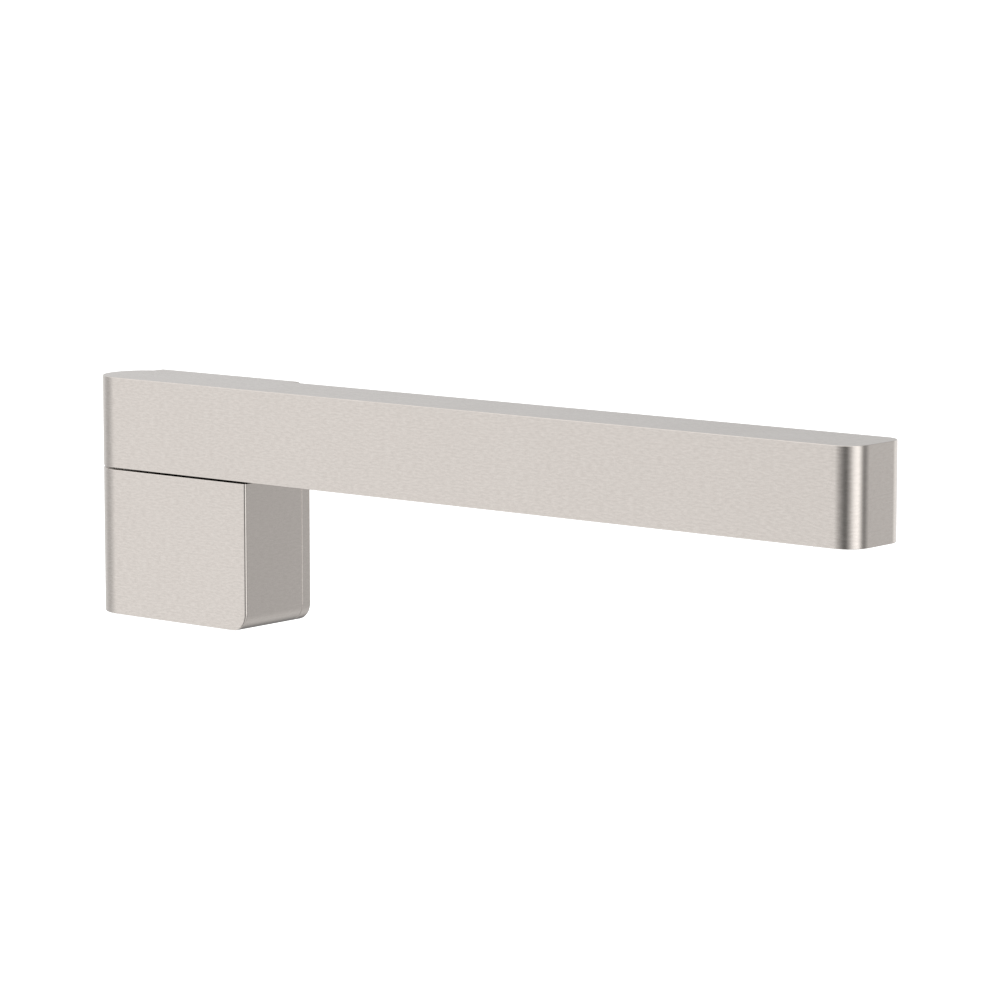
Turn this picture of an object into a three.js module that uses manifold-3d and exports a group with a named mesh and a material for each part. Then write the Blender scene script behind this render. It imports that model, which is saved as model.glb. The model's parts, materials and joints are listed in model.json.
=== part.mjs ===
// Wall mounted swivel bath outlet: a square-section spout arm that turns above a fixed body.
// Millimetres. +Z is up, +Y points into the wall, +X runs along the arm when it is folded flat.
// The origin is the middle of the wall plate's back face.

import * as THREE from 'three';
import { mergeVertices } from 'three/addons/utils/BufferGeometryUtils.js';
import Module from 'manifold-3d';

const wasm = await Module();
wasm.setup();

// ---------------------------------------------------------------- driving dimensions

const ARM = { length: 257.4, height: 25, depth: 22, endRadius: 6, wall: 1.5 };
const BLOCK = { width: 59.5, height: 40.2, depth: 22.6, cornerRadius: 5 };
const PLATE = { height: 65.5, thickness: 3.3, cornerRadius: 5 }; // as wide as the block
const SWIVEL_GAP = 0.5; // between the block's top and the arm's underside
const REACH = 240; // wall to the middle of the outlet with the arm straight out
const FIT = 0.1; // clearance on each side between pieces that touch
const THROUGH = 1; // how far a cutting tool runs past the face that it cuts

const ROUND = 20; // facets round a bore, a shaft or an O-ring
const SMALL_ROUND = 12; // facets round a screw
const CURVE = 6; // half of the facets along one arc of an outline

// ---------------------------------------------------------------- places that follow from them

const RIGHT = BLOCK.width / 2;
const LEFT = -RIGHT;
const BOTTOM = -PLATE.height / 2; // of the plate and of the block
const BLOCK_TOP = BOTTOM + BLOCK.height;
const BLOCK_BACK = -PLATE.thickness;
const BLOCK_FRONT = BLOCK_BACK - BLOCK.depth;
const END_RADIUS = ARM.depth / 2; // the half-round end that the arm and the block share
const PIVOT = new THREE.Vector3(LEFT + END_RADIUS, BLOCK_FRONT + END_RADIUS, BLOCK_TOP + SWIVEL_GAP);

// Heights on the pivot axis, measured from the arm's underside, which is the arm's z = 0.
const COVER_TOP = ARM.wall;
const ROOF = ARM.height - ARM.wall;
const WATERWAY_Z = 13; // axis of the water tube
const BLOCK_TOP_Z = -SWIVEL_GAP;
const BLOCK_BOTTOM_Z = BLOCK_TOP_Z - BLOCK.height;
const CHAMBER_Z = -19.8; // middle of the water chamber round the spindle
const SEAL_OFFSET = 5; // from the chamber's middle to each spindle O-ring
const LOWER_STEP_Z = -32; // where the bore widens for the retaining pieces
const STOP_Z = -34; // middle of the stop plate

const TIP_X = ARM.length - END_RADIUS; // the arm's free end, from the pivot
const OUTLET_X = REACH + PIVOT.y; // the outlet, from the pivot

const SPINDLE = { radius: 5.5, bore: 3.9, port: 2, thread: 5, top: 8.5, flange: 7.6, neck: 4, tail: 5.8 };
const ORING = { section: 0.9, mean: 5.95, grooveRadius: 5, grooveHalf: 1.1 };
const COLUMN = { bore: 7, counterbore: 8.6, topRecess: 0.7 };
const BUSH_TO_SEAL = 1.6; // from each O-ring's middle to the bush beside it
const STOP = { thickness: 1.6, hub: 6, lug: 8.2, pinRadius: 1, pinReach: 1.8, clearDeg: 0.6 };
const NUT = { radius: 5.8, height: 2.8 };
const CAP = { low: 0.3, grooveLow: 0.9, grooveHigh: 2, top: 2.6, socket: 3.4, socketDepth: 1.2 };

const INLET = { x: 8, z: PIVOT.z + CHAMBER_Z, bore: 10.6, sleeve: 12.5, depth: 17 };
const INLET_LIP = { width: 1.6, length: 0.9 }; // stops the supply spigot
const INLET_SEAL = { depths: [11.1, 14.7], groove: 1.3, grooveHalf: 1.1, section: 0.7 };
const CAVITY = { radius: 8, depth: 22.2, duct: 4.2, ductHeight: 8 }; // behind the strainer
const STRAINER = { thickness: 0.8, recess: 1.4, hole: 1.1, rings: [[5, 3.4], [10, 6.8]] };
const GRUB = { radius: 2.5, length: 8.6, depth: 6, socket: 1.44, socketDepth: 2.5 };

const TUBE = { radius: 5, bore: 4, insert: 7.5 };
const TUBE_SEAL = { mean: 5.6, section: 0.45, inset: 4, grooveRadius: 6.1, grooveHalf: 0.7 };
const INNER_HALF = END_RADIUS - ARM.wall - 2 * FIT; // half width of the blocks inside the arm
const PIVOT_BLOCK_END = 22;
const OUTLET_BLOCK = { left: OUTLET_X - 24, right: OUTLET_X + 9.2 };
const INNER_BOTTOM = COVER_TOP + 0.2;
const INNER_TOP = ROOF - 0.2;
const SADDLE = { x: (PIVOT_BLOCK_END + OUTLET_BLOCK.left) / 2, length: 10 };
const AERATOR = { thread: 8, bore: 6.9, lip: 6.2, shelf: 1.2, bottom: 0.6, top: 8.4, passage: 6.5 };
const CELL = { pitch: 2.3, radius: 0.95, rings: 2, height: 6.2 };
const KEY_NOTCH = { half: 0.9, depth: 0.7 };

const PLATE_SCREW = { shank: 2, head: 3.8, headDepth: 2.2, length: 11, socket: 1.4 };
const PLATE_SCREW_SPREAD = { x: 14, z: 13.5 };
const COVER_SCREW = { shank: 1.5, head: 2.8, headDepth: 1.2, length: 5.6, socket: 1 };
const COVER_SCREW_X = [PIVOT_BLOCK_END - 5, SADDLE.x, OUTLET_BLOCK.left + 5];
const GASKET = { inset: 1.5, width: 2, depth: 1.2 };

// ---------------------------------------------------------------- finishes

const finish = (color, roughness, metalness) => () =>
  new THREE.MeshStandardMaterial({ color, roughness, metalness });

const nickel = finish(0xcfc8c1, 0.32, 1);
const brass = finish(0xb89b5e, 0.4, 1);
const steel = finish(0xa7a8a8, 0.35, 1);
const rubber = finish(0x1d1d1d, 0.9, 0);
const whitePlastic = finish(0xe6e4de, 0.55, 0);
const greyPlastic = finish(0x77797a, 0.5, 0);

// ---------------------------------------------------------------- solids

function toSolid(geometry) {
  const bare = geometry.index ? geometry.toNonIndexed() : geometry.clone();
  bare.deleteAttribute('normal');
  bare.deleteAttribute('uv');
  const merged = mergeVertices(bare, 1e-4);
  const vertProperties = new Float32Array(merged.attributes.position.array);
  const triVerts = new Uint32Array(merged.index.array);
  return new wasm.Manifold(new wasm.Mesh({ numProp: 3, vertProperties, triVerts }));
}

function toGeometry(solid) {
  const mesh = solid.getMesh();
  const geometry = new THREE.BufferGeometry();
  geometry.setAttribute('position', new THREE.BufferAttribute(mesh.vertProperties, 3));
  geometry.setIndex(new THREE.BufferAttribute(mesh.triVerts, 1));
  geometry.computeVertexNormals();
  return geometry;
}

function cut(body, ...tools) {
  return toGeometry(tools.reduce((solid, tool) => solid.subtract(toSolid(tool)), toSolid(body)));
}

// A rod along Z from one height to another.
function rod(radius, low, high, facets = ROUND) {
  return new THREE.CylinderGeometry(radius, radius, high - low, facets)
    .rotateX(Math.PI / 2)
    .translate(0, 0, (low + high) / 2);
}

// The same rod laid along +X, or along Y so that its length is the depth from the wall.
const rodAlongX = (radius, low, high) => rod(radius, low, high).rotateY(Math.PI / 2);
const rodFromWall = (radius, low, high) => rod(radius, low, high).rotateX(Math.PI / 2);

// A solid turned about Z from [radius, height] points that run upwards on its outside.
function turned(points, facets = ROUND) {
  const profile = points.map(([radius, height]) => new THREE.Vector2(radius, height));
  return new THREE.LatheGeometry(profile, facets).rotateX(Math.PI / 2);
}

function ring(inner, outer, low, high, facets = ROUND) {
  return turned([[inner, low], [outer, low], [outer, high], [inner, high], [inner, low]], facets);
}

const oRing = (mean, section) => new THREE.TorusGeometry(mean, section, 6, ROUND);

function box(x, y, z) {
  return new THREE.BoxGeometry(x[1] - x[0], y[1] - y[0], z[1] - z[0])
    .translate((x[0] + x[1]) / 2, (y[0] + y[1]) / 2, (z[0] + z[1]) / 2);
}

// An outline in plan, given its height.
function raised(shape, low, high) {
  return new THREE.ExtrudeGeometry(shape, { depth: high - low, bevelEnabled: false, curveSegments: CURVE })
    .translate(0, 0, low);
}

// An outline seen from the front, given its depth from the wall.
const upright = (shape, near, far) => raised(shape, near, far).rotateX(Math.PI / 2);

// ---------------------------------------------------------------- outlines

// The arm in plan: half-round about the pivot at one end, two rounded corners at the other.
function barOutline(inset) {
  const half = END_RADIUS - inset;
  const corner = ARM.endRadius - inset;
  const end = TIP_X - inset - corner;
  const shape = new THREE.Shape();
  shape.absarc(0, 0, half, Math.PI / 2, 1.5 * Math.PI, false);
  shape.absarc(end, corner - half, corner, -Math.PI / 2, 0, false);
  shape.absarc(end, half - corner, corner, 0, Math.PI / 2, false);
  shape.closePath();
  return shape;
}

// A block inside the arm that fills its half-round end.
function innerEndOutline() {
  const shape = new THREE.Shape();
  shape.absarc(0, 0, INNER_HALF, Math.PI / 2, 1.5 * Math.PI, false);
  shape.lineTo(PIVOT_BLOCK_END, -INNER_HALF);
  shape.lineTo(PIVOT_BLOCK_END, INNER_HALF);
  shape.closePath();
  return shape;
}

// The body in plan: the same half-round end as the arm, square where it meets the plate.
function blockOutline() {
  const shape = new THREE.Shape();
  shape.absarc(PIVOT.x, PIVOT.y, END_RADIUS, Math.PI / 2, 1.5 * Math.PI, false);
  shape.lineTo(RIGHT, BLOCK_FRONT);
  shape.lineTo(RIGHT, BLOCK_BACK);
  shape.lineTo(PIVOT.x, BLOCK_BACK);
  shape.closePath();
  return shape;
}

// The plate from the front, as large as the block and the arm together.
function plateOutline(inset) {
  const radius = PLATE.cornerRadius - inset;
  const shape = new THREE.Shape();
  const x = RIGHT - inset - radius;
  const y = PLATE.height / 2 - inset - radius;
  shape.absarc(x, y, radius, 0, Math.PI / 2, false);
  shape.absarc(-x, y, radius, Math.PI / 2, Math.PI, false);
  shape.absarc(-x, -y, radius, Math.PI, 1.5 * Math.PI, false);
  shape.absarc(x, -y, radius, 1.5 * Math.PI, 2 * Math.PI, false);
  shape.closePath();
  return shape;
}

// What is taken off to round the body's lower right corner.
function cornerOffcut() {
  const r = BLOCK.cornerRadius;
  const shape = new THREE.Shape();
  shape.moveTo(RIGHT - r, BOTTOM - THROUGH);
  shape.lineTo(RIGHT + THROUGH, BOTTOM - THROUGH);
  shape.lineTo(RIGHT + THROUGH, BOTTOM + r);
  shape.absarc(RIGHT - r, BOTTOM + r, r, 0, -Math.PI / 2, true);
  shape.closePath();
  return shape;
}

// ---------------------------------------------------------------- scene graph

const outlet = new THREE.Group();

// Fixed pieces on the pivot axis, and the arm, both start at the arm's underside.
const column = new THREE.Group();
column.position.copy(PIVOT);
outlet.add(column);

const arm = new THREE.Group();
arm.position.copy(PIVOT);
outlet.add(arm);

// Pieces round the supply inlet: their +Z runs from the wall into the body.
const inlet = new THREE.Group();
inlet.position.set(INLET.x, 0, INLET.z);
inlet.rotation.x = Math.PI / 2;
outlet.add(inlet);

function add(group, name, material, geometry, place = [0, 0, 0]) {
  const mesh = new THREE.Mesh(geometry, material());
  mesh.name = name;
  mesh.position.set(...place);
  group.add(mesh);
  return mesh;
}

const plateScrewPlaces = [1, -1].flatMap((up) =>
  [-1, 1].map((side) => [side * PLATE_SCREW_SPREAD.x, up * PLATE_SCREW_SPREAD.z]));

// ---------------------------------------------------------------- fasteners

// A countersunk screw that points up +Z, with its head's flat face at z = 0.
function countersunkScrew({ shank, head, headDepth, length, socket }) {
  const tip = shank * 0.4;
  const screw = turned([
    [0, 0], [head, 0], [head, 0.2], [shank, headDepth],
    [shank, length - tip], [shank - tip, length], [0, length],
  ], SMALL_ROUND);
  return cut(screw, rod(socket, -THROUGH, headDepth, 6));
}

// The countersunk hole that takes it, through a sheet whose outer face is z = 0.
function countersunkHole({ shank, head, headDepth }, sheet) {
  const play = 2 * FIT;
  const outer = head + play;
  return turned([
    [0, -THROUGH], [outer, -THROUGH], [outer, 0.2 + play], [shank + play, headDepth + play],
    [shank + play, sheet + THROUGH], [0, sheet + THROUGH],
  ], SMALL_ROUND);
}

// ---------------------------------------------------------------- the fixed body

function wallPlate() {
  const groove = plateOutline(GASKET.inset);
  groove.holes.push(plateOutline(GASKET.inset + GASKET.width));
  const screwHoles = plateScrewPlaces.map(([x, z]) =>
    countersunkHole(PLATE_SCREW, PLATE.thickness).rotateX(Math.PI / 2)
      .translate(INLET.x + x, 0, INLET.z + z));
  return cut(
    upright(plateOutline(0), 0, PLATE.thickness),
    upright(groove, -THROUGH, GASKET.depth),
    rodFromWall(INLET.sleeve + 2 * FIT, -THROUGH, PLATE.thickness + THROUGH).translate(INLET.x, 0, INLET.z),
    ...screwHoles,
  );
}

function wallGasket() {
  const shape = plateOutline(GASKET.inset + FIT);
  shape.holes.push(plateOutline(GASKET.inset + GASKET.width - FIT));
  return upright(shape, FIT, GASKET.depth - FIT);
}

function bodyBlock() {
  const atPivot = (tool) => tool.translate(PIVOT.x, PIVOT.y, PIVOT.z);
  const atInlet = (tool) => tool.translate(INLET.x, 0, INLET.z);
  const duct = box(
    [PIVOT.x, INLET.x - CAVITY.radius / 2],
    [-CAVITY.depth, CAVITY.duct - CAVITY.depth],
    [INLET.z - CAVITY.ductHeight / 2, INLET.z + CAVITY.ductHeight / 2],
  );
  const screwHoles = plateScrewPlaces.map(([x, z]) =>
    rodFromWall(PLATE_SCREW.shank + FIT, PLATE.thickness - THROUGH, PLATE_SCREW.length + THROUGH)
      .translate(INLET.x + x, 0, INLET.z + z));
  const stopPinHole = rodFromWall(STOP.pinRadius + FIT, PLATE.thickness - THROUGH, -PIVOT.y)
    .translate(PIVOT.x, 0, PIVOT.z + STOP_Z);
  return cut(
    raised(blockOutline(), BOTTOM, BLOCK_TOP),
    upright(cornerOffcut(), PLATE.thickness - THROUGH, BLOCK.depth + PLATE.thickness + THROUGH),
    atPivot(rod(COLUMN.bore, LOWER_STEP_Z - THROUGH, THROUGH)),
    atPivot(rod(COLUMN.counterbore, BLOCK_TOP_Z - COLUMN.topRecess, THROUGH)),
    atPivot(rod(COLUMN.counterbore, BLOCK_BOTTOM_Z - THROUGH, LOWER_STEP_Z)),
    atInlet(rodFromWall(INLET.sleeve + FIT, PLATE.thickness - THROUGH, INLET.depth + FIT)),
    atInlet(rodFromWall(INLET.bore, INLET.depth, INLET.depth + STRAINER.recess)),
    atInlet(rodFromWall(CAVITY.radius, INLET.depth, CAVITY.depth)),
    duct,
    rod(GRUB.radius + FIT, BOTTOM - THROUGH, INLET.z - INLET.bore).translate(INLET.x, -GRUB.depth, 0),
    stopPinHole,
    ...screwHoles,
  );
}

add(outlet, 'wall_plate', nickel, wallPlate());
add(outlet, 'wall_gasket', rubber, wallGasket());
add(outlet, 'body_block', nickel, bodyBlock());
plateScrewPlaces.forEach(([x, z], i) => {
  add(inlet, `plate_screw_${i + 1}`, steel, countersunkScrew(PLATE_SCREW), [x, z, 0.3]);
});

// ---------------------------------------------------------------- the supply inlet

function inletSleeve() {
  const start = 2 * FIT;
  const inner = INLET.bore - INLET_LIP.width;
  const lip = INLET.depth - INLET_LIP.length;
  const groove = INLET.bore + INLET_SEAL.groove;
  const grooves = [...INLET_SEAL.depths].reverse().flatMap((depth) => [
    [INLET.bore, depth + INLET_SEAL.grooveHalf], [groove, depth + INLET_SEAL.grooveHalf],
    [groove, depth - INLET_SEAL.grooveHalf], [INLET.bore, depth - INLET_SEAL.grooveHalf],
  ]);
  const sleeve = turned([
    [INLET.bore, start], [INLET.sleeve, start], [INLET.sleeve, INLET.depth], [inner, INLET.depth],
    [inner, lip], [INLET.bore, lip], ...grooves, [INLET.bore, start],
  ]);
  const grubHole = rod(GRUB.radius + FIT, -INLET.sleeve - THROUGH, -INLET.bore + THROUGH)
    .rotateX(-Math.PI / 2).translate(0, 0, GRUB.depth);
  return cut(sleeve, grubHole);
}

// A perforated disc that keeps grit out of the waterway.
function inletStrainer() {
  const holes = [new THREE.Vector2(0, 0)];
  for (const [count, radius] of STRAINER.rings) {
    for (let i = 0; i < count; i += 1) {
      const angle = (2 * Math.PI * i) / count;
      holes.push(new THREE.Vector2(radius * Math.cos(angle), radius * Math.sin(angle)));
    }
  }
  return perforatedDisc(INLET.bore - 4 * FIT, holes, STRAINER.hole, STRAINER.thickness);
}

// The disc's edge is drawn as three arcs, so that it gets more facets than each small hole.
function perforatedDisc(radius, centres, holeRadius, thickness) {
  const disc = new THREE.Shape();
  for (let third = 0; third < 3; third += 1) {
    disc.absarc(0, 0, radius, (third * 2 * Math.PI) / 3, ((third + 1) * 2 * Math.PI) / 3, false);
  }
  for (const centre of centres) {
    disc.holes.push(new THREE.Path().absarc(centre.x, centre.y, holeRadius, 0, 2 * Math.PI, true));
  }
  return new THREE.ExtrudeGeometry(disc, { depth: thickness, bevelEnabled: false, curveSegments: 4 });
}

// A headless screw that points up +Z, with its hex socket at the lower end.
function grubScrew() {
  const chamfer = 0.4;
  const point = 1;
  const screw = turned([
    [0, 0], [GRUB.radius - chamfer, 0], [GRUB.radius, chamfer], [GRUB.radius, GRUB.length - point],
    [GRUB.radius - point, GRUB.length], [0, GRUB.length],
  ], SMALL_ROUND);
  return cut(screw, rod(GRUB.socket, -THROUGH, GRUB.socketDepth, 6));
}

add(inlet, 'inlet_sleeve', brass, inletSleeve());
INLET_SEAL.depths.forEach((depth, i) => {
  const mean = INLET.bore + INLET_SEAL.groove - INLET_SEAL.section - FIT;
  add(inlet, `inlet_oring_${i + 1}`, rubber, oRing(mean, INLET_SEAL.section), [0, 0, depth]);
});
add(inlet, 'inlet_strainer', steel, inletStrainer(), [0, 0, INLET.depth + 0.3]);
add(outlet, 'grub_screw', steel, grubScrew(),
  [INLET.x, -GRUB.depth, INLET.z - INLET.bore - GRUB.length - FIT]);

// ---------------------------------------------------------------- the swivel, fixed side

// A cap that closes the bore from below, with a groove for its O-ring and a hex socket.
function bottomCap() {
  const radius = COLUMN.counterbore - 2 * FIT;
  const groove = radius - 1;
  const cap = turned([
    [0, CAP.low], [radius, CAP.low], [radius, CAP.grooveLow], [groove, CAP.grooveLow],
    [groove, CAP.grooveHigh], [radius, CAP.grooveHigh], [radius, CAP.top], [0, CAP.top],
  ]);
  return cut(cap, rod(CAP.socket, CAP.low - THROUGH, CAP.low + CAP.socketDepth, 6));
}

const capSealZ = BLOCK_BOTTOM_Z + (CAP.grooveLow + CAP.grooveHigh) / 2;
const bush = (low, high) => ring(SPINDLE.radius + FIT, COLUMN.bore - FIT, low, high);
add(column, 'thrust_washer', whitePlastic,
  ring(SPINDLE.radius + FIT, COLUMN.counterbore - FIT, BLOCK_TOP_Z - COLUMN.topRecess + FIT, -0.15));
add(column, 'upper_bush', whitePlastic,
  bush(CHAMBER_Z + SEAL_OFFSET + BUSH_TO_SEAL, BLOCK_TOP_Z - COLUMN.topRecess - FIT));
add(column, 'lower_bush', whitePlastic,
  bush(LOWER_STEP_Z + 2 * FIT, CHAMBER_Z - SEAL_OFFSET - BUSH_TO_SEAL));
add(column, 'stop_pin', steel,
  rodFromWall(STOP.pinRadius, 0.3, -PIVOT.y - PLATE.thickness - COLUMN.counterbore + STOP.pinReach),
  [0, BLOCK_BACK - PIVOT.y, STOP_Z]);
add(column, 'bottom_cap', nickel, bottomCap(), [0, 0, BLOCK_BOTTOM_Z]);
add(column, 'cap_oring', rubber, oRing(COLUMN.counterbore - 0.6, 0.45), [0, 0, capSealZ]);

// ---------------------------------------------------------------- the swivel, turning side

// The hollow spindle: threaded into the arm above, with four ports that open into the chamber.
function swivelSpindle() {
  const seals = [CHAMBER_Z + SEAL_OFFSET, CHAMBER_Z - SEAL_OFFSET];
  const grooves = [...seals].reverse().flatMap((z) => [
    [SPINDLE.radius, z - ORING.grooveHalf], [ORING.grooveRadius, z - ORING.grooveHalf],
    [ORING.grooveRadius, z + ORING.grooveHalf], [SPINDLE.radius, z + ORING.grooveHalf],
  ]);
  const shoulder = LOWER_STEP_Z - FIT;
  const end = shoulder - SPINDLE.tail;
  const chamfer = 0.4;
  const body = turned([
    [0, end], [SPINDLE.neck - chamfer, end], [SPINDLE.neck, end + chamfer],
    [SPINDLE.neck, shoulder], [SPINDLE.radius, shoulder],
    ...grooves,
    [SPINDLE.radius, 0], [SPINDLE.flange, 0], [SPINDLE.flange, COVER_TOP],
    [SPINDLE.thread, COVER_TOP], [SPINDLE.thread, SPINDLE.top], [SPINDLE.bore, SPINDLE.top],
    [SPINDLE.bore, CHAMBER_Z - 2.6], [0, CHAMBER_Z - 4.2],
  ]);
  const reach = SPINDLE.radius + THROUGH;
  const port = (turn) => rodAlongX(SPINDLE.port, -reach, reach).rotateZ(turn).translate(0, 0, CHAMBER_Z);
  return cut(body, port(0), port(Math.PI / 2));
}

// A keyed disc with a wide lug that meets the stop pin at either end of the half turn.
function stopPlate() {
  const pinHalfAngle = Math.asin(STOP.pinRadius / (COLUMN.counterbore - STOP.pinReach));
  const half = Math.PI / 2 - pinHalfAngle - THREE.MathUtils.degToRad(STOP.clearDeg);
  const shape = new THREE.Shape();
  shape.absarc(0, 0, STOP.hub, half, 2 * Math.PI - half, false);
  shape.absarc(0, 0, STOP.lug, -half, half, false);
  shape.closePath();
  const low = STOP_Z - STOP.thickness / 2;
  const high = STOP_Z + STOP.thickness / 2;
  return cut(raised(shape, low, high), rod(SPINDLE.neck + FIT, low - THROUGH, high + THROUGH));
}

function spindleNut() {
  const top = STOP_Z - STOP.thickness / 2 - 2 * FIT;
  const low = top - NUT.height;
  return cut(rod(NUT.radius, low, top, 6), rod(SPINDLE.neck + FIT, low - THROUGH, top + THROUGH));
}

add(arm, 'swivel_spindle', brass, swivelSpindle());
[SEAL_OFFSET, -SEAL_OFFSET].forEach((offset, i) => {
  add(arm, `spindle_oring_${i + 1}`, rubber, oRing(ORING.mean, ORING.section), [0, 0, CHAMBER_Z + offset]);
});
const stopTop = STOP_Z + STOP.thickness / 2;
add(arm, 'retaining_washer', whitePlastic,
  ring(SPINDLE.neck + FIT, COLUMN.counterbore - 4 * FIT, stopTop + 2 * FIT, LOWER_STEP_Z - 2 * FIT));
add(arm, 'stop_plate', steel, stopPlate());
add(arm, 'spindle_nut', brass, spindleNut());

// ---------------------------------------------------------------- the arm's shell and cover

function armShell() {
  return cut(raised(barOutline(0), 0, ARM.height), raised(barOutline(ARM.wall), -THROUGH, ROOF));
}

function armCover() {
  const screwHoles = COVER_SCREW_X.map((x) => countersunkHole(COVER_SCREW, COVER_TOP).translate(x, 0, 0));
  return cut(
    raised(barOutline(ARM.wall + FIT), 0, COVER_TOP),
    rod(SPINDLE.flange + 2 * FIT, -THROUGH, COVER_TOP + THROUGH),
    rod(AERATOR.thread + 3 * FIT, -THROUGH, COVER_TOP + THROUGH).translate(OUTLET_X, 0, 0),
    ...screwHoles,
  );
}

add(arm, 'arm_shell', nickel, armShell());
add(arm, 'arm_cover', nickel, armCover());
COVER_SCREW_X.forEach((x, i) => {
  add(arm, `cover_screw_${i + 1}`, steel, countersunkScrew(COVER_SCREW), [x, 0, 0.1]);
});

// ---------------------------------------------------------------- the waterway inside the arm

const screwHole = (x) =>
  rod(COVER_SCREW.shank + FIT, INNER_BOTTOM - THROUGH, COVER_SCREW.length + 0.4).translate(x, 0, 0);

// A socket for the tube, from the block's face inwards, with a groove for its O-ring.
function tubeSocket(face, inwards) {
  const span = (a, b) => [Math.min(face + inwards * a, face + inwards * b),
    Math.max(face + inwards * a, face + inwards * b)];
  const socket = rodAlongX(TUBE.radius + FIT, ...span(-THROUGH, TUBE.insert + 0.4));
  const { inset, grooveRadius, grooveHalf } = TUBE_SEAL;
  const groove = rodAlongX(grooveRadius, ...span(inset - grooveHalf, inset + grooveHalf));
  return [socket, groove].map((tool) => tool.translate(0, 0, WATERWAY_Z));
}

// Carries the spindle's thread and turns the water from the spindle into the tube.
function pivotBlock() {
  return cut(
    raised(innerEndOutline(), INNER_BOTTOM, INNER_TOP),
    rod(SPINDLE.thread + FIT, INNER_BOTTOM - THROUGH, WATERWAY_Z + TUBE.bore),
    rodAlongX(TUBE.bore, 0, PIVOT_BLOCK_END + THROUGH).translate(0, 0, WATERWAY_Z),
    ...tubeSocket(PIVOT_BLOCK_END, -1),
    screwHole(COVER_SCREW_X[0]),
  );
}

function tubeSaddle() {
  const { x, length } = SADDLE;
  return cut(
    box([x - length / 2, x + length / 2], [-INNER_HALF, INNER_HALF], [INNER_BOTTOM, INNER_TOP]),
    rodAlongX(TUBE.radius + FIT, x - length, x + length).translate(0, 0, WATERWAY_Z),
    screwHole(COVER_SCREW_X[1]),
  );
}

// Turns the water down into the threaded seat of the aerator.
function outletBlock() {
  const { left, right } = OUTLET_BLOCK;
  const seat = AERATOR.top + 2;
  const atOutlet = (tool) => tool.translate(OUTLET_X, 0, 0);
  return cut(
    box([left, right], [-INNER_HALF, INNER_HALF], [INNER_BOTTOM, INNER_TOP]),
    atOutlet(rod(AERATOR.thread + FIT, INNER_BOTTOM - THROUGH, seat)),
    atOutlet(rod(AERATOR.passage, seat - THROUGH, WATERWAY_Z + TUBE.bore + 1)),
    rodAlongX(TUBE.bore, left - THROUGH, OUTLET_X).translate(0, 0, WATERWAY_Z),
    ...tubeSocket(left, 1),
    screwHole(COVER_SCREW_X[2]),
  );
}

function waterTube() {
  const start = PIVOT_BLOCK_END - TUBE.insert;
  const end = OUTLET_BLOCK.left + TUBE.insert;
  return ring(TUBE.bore, TUBE.radius, start, end).rotateY(Math.PI / 2);
}

add(arm, 'pivot_block', brass, pivotBlock());
add(arm, 'tube_saddle', brass, tubeSaddle());
add(arm, 'outlet_block', brass, outletBlock());
add(arm, 'water_tube', brass, waterTube(), [0, 0, WATERWAY_Z]);
const tubeSealPlaces = [PIVOT_BLOCK_END - TUBE_SEAL.inset, OUTLET_BLOCK.left + TUBE_SEAL.inset];
tubeSealPlaces.forEach((x, i) => {
  const seal = oRing(TUBE_SEAL.mean, TUBE_SEAL.section).rotateY(Math.PI / 2);
  add(arm, `tube_oring_${i + 1}`, rubber, seal, [x, 0, WATERWAY_Z]);
});

// ---------------------------------------------------------------- the aerator

// A threaded ring that holds the insert on an inner lip, with notches for a key.
function aeratorHousing() {
  const { thread, bore, lip, shelf, bottom, top } = AERATOR;
  const { half, depth } = KEY_NOTCH;
  const housing = turned([
    [lip, bottom], [thread, bottom], [thread, top], [bore, top],
    [bore, bottom + shelf], [lip, bottom + shelf], [lip, bottom],
  ]);
  const notch = () =>
    box([-thread - THROUGH, thread + THROUGH], [-half, half], [bottom - THROUGH, bottom + depth]);
  return cut(housing, notch(), notch().rotateZ(Math.PI / 2));
}

// A honeycomb disc: two rings of cells round a middle one.
function aeratorInsert() {
  const { pitch, radius, rings, height } = CELL;
  const centres = [];
  for (let row = -rings; row <= rings; row += 1) {
    const count = 2 * rings + 1 - Math.abs(row);
    for (let i = 0; i < count; i += 1) {
      centres.push(new THREE.Vector2((i - (count - 1) / 2) * pitch, (row * pitch * Math.sqrt(3)) / 2));
    }
  }
  return perforatedDisc(AERATOR.bore - 2 * FIT, centres, radius, height);
}

add(arm, 'aerator_housing', nickel, aeratorHousing(), [OUTLET_X, 0, 0]);
add(arm, 'aerator_insert', greyPlastic, aeratorInsert(),
  [OUTLET_X, 0, AERATOR.bottom + AERATOR.shelf + 2 * FIT]);
add(arm, 'aerator_washer', rubber,
  ring(5.6, AERATOR.thread - FIT, AERATOR.top + 0.2, AERATOR.top + 1.9), [OUTLET_X, 0, 0]);

export default outlet;
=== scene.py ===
"""Looks of a wall mounted swivel bath outlet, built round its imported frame.

Metres. +Z is up, +Y points into the wall, +X runs along the folded arm.
"""
import json
import math

import bmesh
import bpy
from mathutils import Matrix, Vector


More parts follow.
